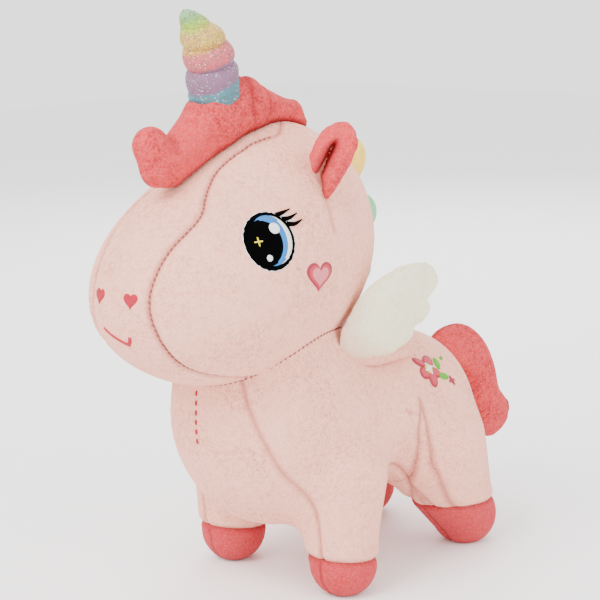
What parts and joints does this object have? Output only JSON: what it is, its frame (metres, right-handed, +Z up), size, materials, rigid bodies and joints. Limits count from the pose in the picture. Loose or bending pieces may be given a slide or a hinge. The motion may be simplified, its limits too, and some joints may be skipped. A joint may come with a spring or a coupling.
{
  "type": "plush unicorn",
  "caption": "Standing stuffed toy unicorn of sewn pile-fabric panels, with a padded spiral horn, curled forelock, side wings, cupped ears and a curled tail.",
  "frame": {"origin": "centre of the bounding box in plan, on the plane of the hoof soles", "axes": "+Z up, the toy faces -Y, its left side is +X, X = 0 is its plane of symmetry"},
  "size_m": [0.1404, 0.3205, 0.3179],
  "materials": {
    "pink_plush": "short speckled pile, pale pink",
    "coral_velour": "short dense pile, coral",
    "cream_plush": "short pile, off-white",
    "white_stuffing": "loose polyester fibre, hidden",
    "glitter_fabric": "glitter-coated cloth in coloured bands",
    "yellow_plush": "short pile, yellow",
    "green_plush": "short pile, green",
    "blue_plush": "short pile, blue",
    "lilac_plush": "short pile, lilac",
    "black_thread": "satin-stitch embroidery",
    "coral_thread": "satin-stitch embroidery"
  },
  "bodies": {
    "toy": {"belly_panel": "pink_plush", "chest_panel": "pink_plush", "chest_stitches": "coral_thread", "face_gusset": "pink_plush", "forelock": "coral_velour", "front_left_hoof_inner": "coral_velour", "front_left_hoof_outer": "coral_velour", "front_left_leg_stuffing": "white_stuffing", "front_right_hoof_inner": "coral_velour", "front_right_hoof_outer": "coral_velour", "front_right_leg_stuffing": "white_stuffing", "head_stuffing": "white_stuffing", "horn_cover": "glitter_fabric", "horn_stuffing": "white_stuffing", "left_cheek_heart": "coral_thread", "left_cheek_panel": "pink_plush", "left_eye": "black_thread", "left_hip_flower": "coral_thread", "left_leg_gusset": "pink_plush", "left_nostril": "coral_thread", "left_side_panel": "pink_plush", "mane_blue": "blue_plush", "mane_green": "green_plush", "mane_lilac": "lilac_plush", "mane_yellow": "yellow_plush", "mouth": "coral_thread", "rear_left_hoof_inner": "coral_velour", "rear_left_hoof_outer": "coral_velour", "rear_left_leg_stuffing": "white_stuffing", "rear_right_hoof_inner": "coral_velour", "rear_right_hoof_outer": "coral_velour", "rear_right_leg_stuffing": "white_stuffing", "right_cheek_heart": "coral_thread", "right_cheek_panel": "pink_plush", "right_eye": "black_thread", "right_hip_flower": "coral_thread", "right_leg_gusset": "pink_plush", "right_nostril": "coral_thread", "right_side_panel": "pink_plush", "trunk_stuffing": "white_stuffing"},
    "left_wing": {"left_wing_outer": "cream_plush", "left_wing_inner": "cream_plush"},
    "right_wing": {"right_wing_outer": "cream_plush", "right_wing_inner": "cream_plush"},
    "tail": {"tail_left": "coral_velour", "tail_right": "coral_velour"},
    "left_ear": {"left_ear_inner": "coral_velour", "left_ear_outer": "pink_plush"},
    "right_ear": {"right_ear_inner": "coral_velour", "right_ear_outer": "pink_plush"}
  },
  "joints": [
    {"name": "left_wing_flap", "type": "hinge", "parent": "toy", "child": "left_wing", "pos_m": [0.038, 0.003, 0.124], "axis": [0, 1, 0], "range_deg": [-2, 30], "stiffness_Nm_per_rad": 0.06},
    {"name": "right_wing_flap", "type": "hinge", "parent": "toy", "child": "right_wing", "pos_m": [-0.038, 0.003, 0.124], "axis": [0, -1, 0], "range_deg": [-2, 30], "stiffness_Nm_per_rad": 0.06},
    {"name": "left_ear_fold", "type": "hinge", "parent": "toy", "child": "left_ear", "pos_m": [0.051, -0.052, 0.221], "axis": [0.7431, 0.6691, 0], "range_deg": [-12, 12], "stiffness_Nm_per_rad": 0.02},
    {"name": "right_ear_fold", "type": "hinge", "parent": "toy", "child": "right_ear", "pos_m": [-0.051, -0.052, 0.221], "axis": [0.7431, -0.6691, 0], "range_deg": [-12, 12], "stiffness_Nm_per_rad": 0.02},
    {"name": "tail_wag", "type": "hinge", "parent": "toy", "child": "tail", "pos_m": [0, 0.082, 0.108], "axis": [0, 0, 1], "range_deg": [-20, 20], "stiffness_Nm_per_rad": 0.05}
  ]
}
